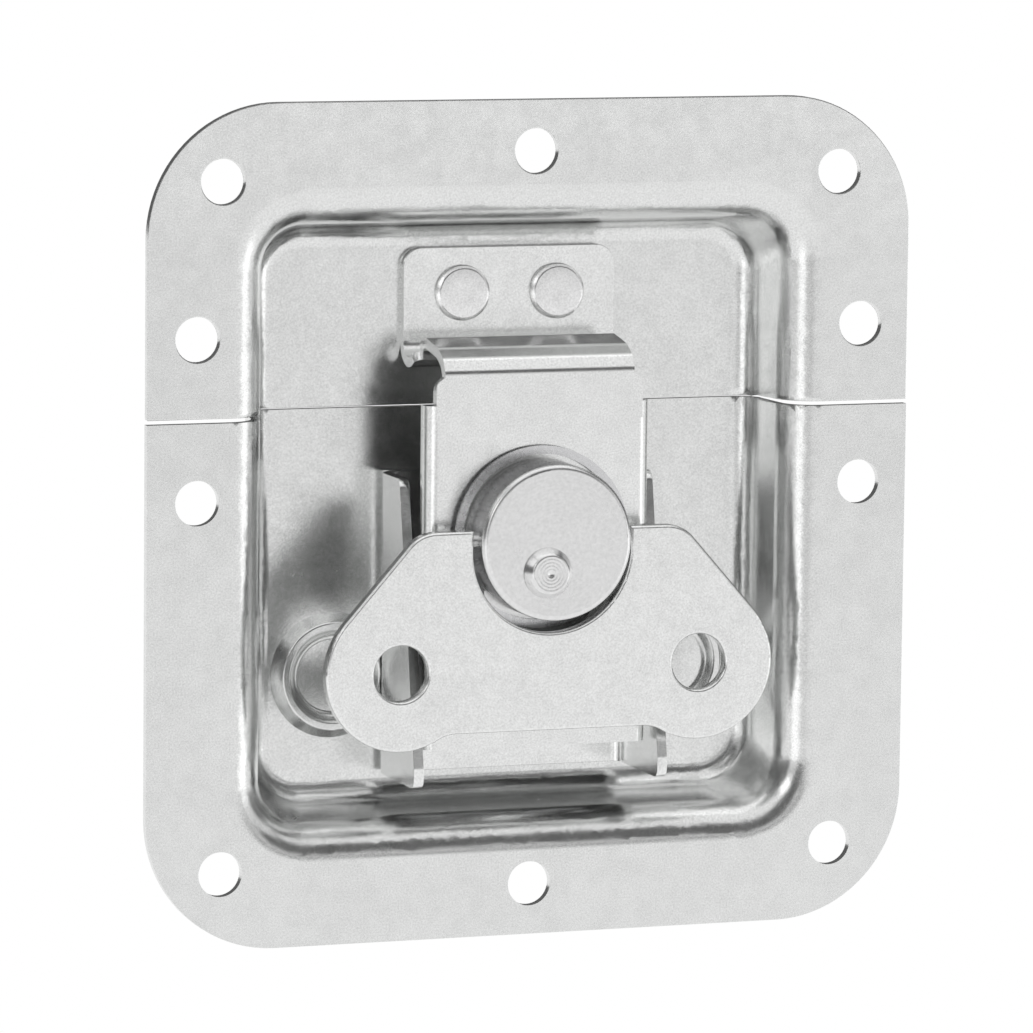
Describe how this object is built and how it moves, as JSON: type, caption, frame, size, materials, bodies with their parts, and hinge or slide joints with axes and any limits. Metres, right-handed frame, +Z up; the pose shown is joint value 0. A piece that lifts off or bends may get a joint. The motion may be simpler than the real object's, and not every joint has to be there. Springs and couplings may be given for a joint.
{
  "type": "recessed butterfly latch",
  "caption": "Recessed butterfly latch in a split sheet-metal dish: a folding handle turns a cam that draws a hook plate down onto a keeper.",
  "frame": {"origin": "centre of the four corner fixing holes, in the back face of the flange", "axes": "+X to the right seen from the front, +Y into the case, +Z up from the latch half towards the keeper half"},
  "size_m": [0.107, 0.0274, 0.112],
  "materials": {
    "dish_zinc": "bright zinc plate, pressed sheet",
    "plate_zinc": "bright zinc plate, flat sheet",
    "turned_zinc": "bright zinc plate, turned",
    "rivet_zinc": "bright zinc plate, peened",
    "spring_steel": "spring steel, plain"
  },
  "bodies": {
    "case_side": {"upper_dish": "dish_zinc", "lower_dish": "dish_zinc", "keeper_plate": "plate_zinc", "keeper_rivet_left": "rivet_zinc", "keeper_rivet_right": "rivet_zinc", "guide_bracket": "plate_zinc", "bracket_rivet_left": "rivet_zinc", "bracket_rivet_right": "rivet_zinc", "pivot_rivet": "rivet_zinc", "hub_washer": "turned_zinc", "rear_washer": "turned_zinc", "lift_spring": "spring_steel"},
    "hook": {"hook_plate": "plate_zinc"},
    "cam": {"cam": "turned_zinc", "hinge_pin": "turned_zinc", "spring_washer": "spring_steel"},
    "handle": {"handle": "plate_zinc"}
  },
  "joints": [
    {"name": "cam_turn", "type": "hinge", "parent": "case_side", "child": "cam", "pos_m": [-0.0014, 0, -0.0058], "axis": [0, -1, 0], "range_deg": [0, 180]},
    {"name": "hook_slide", "type": "slide", "parent": "case_side", "child": "hook", "axis": [0, 0, 1], "range_m": [0, 0.0052]},
    {"name": "handle_fold", "type": "hinge", "parent": "cam", "child": "handle", "pos_m": [0, -0.0067, -0.0018], "axis": [-1, 0, 0], "range_deg": [0, 90]}
  ],
  "couplings": [
    {"joint": "hook_slide", "follows": "cam_turn", "m_per_rad": 0.0016552}
  ]
}
